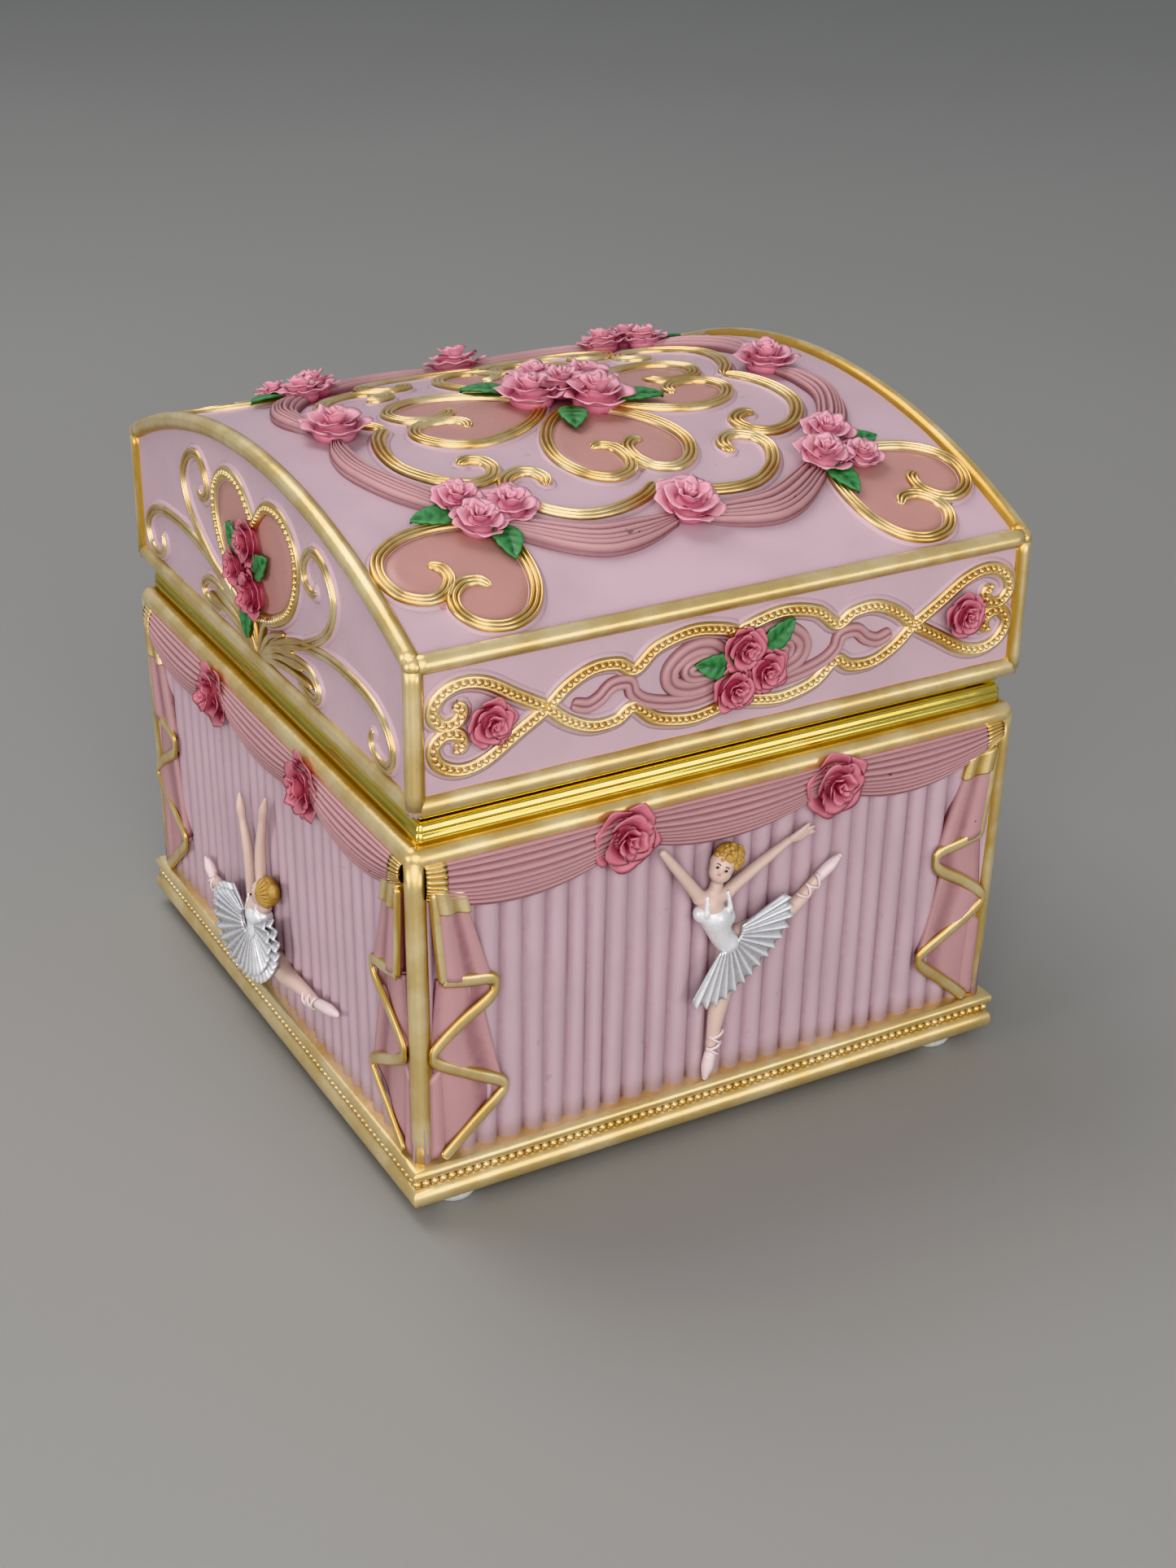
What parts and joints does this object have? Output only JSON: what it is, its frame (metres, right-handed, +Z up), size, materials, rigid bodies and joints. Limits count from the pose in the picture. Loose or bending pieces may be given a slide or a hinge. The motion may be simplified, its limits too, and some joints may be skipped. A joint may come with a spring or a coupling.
{
  "type": "ballerina jewellery box",
  "caption": "Barrel-topped jewellery box whose hinged, mirrored lid opens on a velvet tray and a dancer that turns on a wind-up musical movement.",
  "frame": {"origin": "middle of the box's footprint, at the underside of its rubber feet", "axes": "+X along the front's width to the right, -Y towards the front, +Y towards the hinge, +Z up"},
  "size_m": [0.1344, 0.138, 0.1345],
  "materials": {
    "lilac_resin": "painted cast resin, satin",
    "gold_paint": "metallic gold paint",
    "pink_paint": "pink paint, satin",
    "rose_paint": "rose paint, satin",
    "leaf_paint": "green paint, satin",
    "pearl_paint": "pearl white paint",
    "brass": "polished",
    "steel": "plated",
    "rubber": "translucent grey",
    "cover_board": "black felt-faced board",
    "wood_board": "raw fibreboard",
    "velvet": "velvet flock",
    "cream_plastic": "moulded, glossy",
    "mirror": "silvered glass",
    "doll_paint": "painted plastic",
    "tulle": "stiff net"
  },
  "bodies": {
    "box_base": {"base_shell": "lilac_resin", "base_rim": "brass", "base_hinge_leaves": "brass", "hinge_pins": "brass", "rubber_feet": "rubber", "bottom_cover": "cover_board", "cover_screws": "steel", "deck_board": "wood_board", "tray_lining": "velvet", "cross_divider": "velvet", "ring_cushion_left": "velvet", "ring_cushion_right": "velvet", "stage": "cream_plastic", "stage_trim": "gold_paint", "bedplate": "brass", "bedplate_screws": "steel", "cylinder_bracket": "brass", "governor_bracket": "brass", "comb": "steel", "comb_screws": "steel"},
    "lid": {"lid_shell": "lilac_resin", "lid_rim": "brass", "lid_hinge_leaves": "brass", "lid_lining": "velvet", "mirror_frame": "gold_paint", "mirror": "mirror"},
    "dancer_drive": {"great_wheel": "brass", "spring_barrel": "brass", "mainspring": "steel", "dancer_spindle": "steel", "dancer_spring": "steel", "dancer": "doll_paint", "dancer_tutu": "tulle"},
    "key": {"winding_arbor": "steel", "winding_key": "brass"},
    "cylinder": {"music_cylinder": "brass", "cylinder_arbor": "steel", "cylinder_pinion": "brass", "cylinder_wheel": "brass"},
    "governor": {"governor_arbor": "steel", "worm_wheel": "cream_plastic"},
    "fly": {"governor_worm": "steel", "governor_fly": "cream_plastic"},
    "stop": {"stop_rod": "steel"}
  },
  "joints": [
    {"name": "lid_hinge", "type": "hinge", "parent": "box_base", "child": "lid", "pos_m": [0, 0.0673, 0.08315], "axis": [-1, 0, 0], "range_deg": [0, 100]},
    {"name": "dancer_spin", "type": "hinge", "parent": "box_base", "child": "dancer_drive", "pos_m": [0, 0.018, 0.03], "axis": [0, 0, 1], "continuous": true},
    {"name": "key_turn", "type": "hinge", "parent": "box_base", "child": "key", "pos_m": [0, 0.018, 0.01], "axis": [0, 0, 1], "continuous": true},
    {"name": "cylinder_spin", "type": "hinge", "parent": "box_base", "child": "cylinder", "pos_m": [0.0276, 0.018, 0.0221], "axis": [1, 0, 0], "continuous": true},
    {"name": "governor_spin", "type": "hinge", "parent": "box_base", "child": "governor", "pos_m": [0.0432, 0.0255, 0.0221], "axis": [1, 0, 0], "continuous": true},
    {"name": "fly_spin", "type": "hinge", "parent": "box_base", "child": "fly", "pos_m": [0.0438, 0.02985, 0.0221], "axis": [0, 0, 1], "continuous": true},
    {"name": "stop_slide", "type": "slide", "parent": "box_base", "child": "stop", "axis": [0, 0, 1], "range_m": [0, 0.003]}
  ],
  "couplings": [
    {"joint": "cylinder_spin", "follows": "dancer_spin", "ratio": 3},
    {"joint": "governor_spin", "follows": "dancer_spin", "ratio": -12},
    {"joint": "fly_spin", "follows": "dancer_spin", "ratio": 144},
    {"joint": "stop_slide", "follows": "lid_hinge", "m_per_rad": 0.0017}
  ]
}
